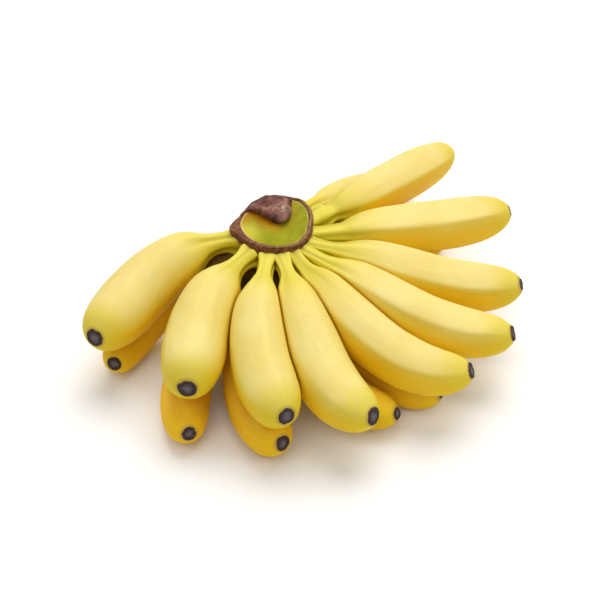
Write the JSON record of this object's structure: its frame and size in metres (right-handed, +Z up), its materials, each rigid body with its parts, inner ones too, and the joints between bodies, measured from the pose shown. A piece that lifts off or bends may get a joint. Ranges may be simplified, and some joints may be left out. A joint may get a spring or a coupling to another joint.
{
  "type": "hand of baby bananas",
  "caption": "Hand of small plump yellow bananas in two fanned rows on one cut crown, lying on its lower row; a fruit prop for kitchens, shops and bowls.",
  "frame": {"origin": "middle of the hand's footprint, on the surface that it lies on", "axes": "+Z up, away from the surface; +X to the right and +Y to the back, as the picture sees it"},
  "size_m": [0.2304, 0.2328, 0.066],
  "materials": {
    "peel": "smooth waxy yellow peel, greener at the neck and tip",
    "crown_skin": "rough dried brown stem skin",
    "cut_face": "damp fibrous yellow-green cut stem",
    "dried_tip": "dry dark nub"
  },
  "bodies": {
    "root": {"crown": "crown_skin", "finger_01": "peel", "finger_02": "peel", "finger_03": "peel", "finger_04": "peel", "finger_05": "peel", "finger_06": "peel", "finger_07": "peel", "finger_08": "peel", "finger_09": "peel", "finger_10": "peel", "finger_11": "peel", "finger_12": "peel", "finger_13": "peel", "finger_14": "peel", "finger_15": "peel", "finger_16": "peel", "finger_17": "peel", "finger_18": "peel"}
  },
  "joints": []
}
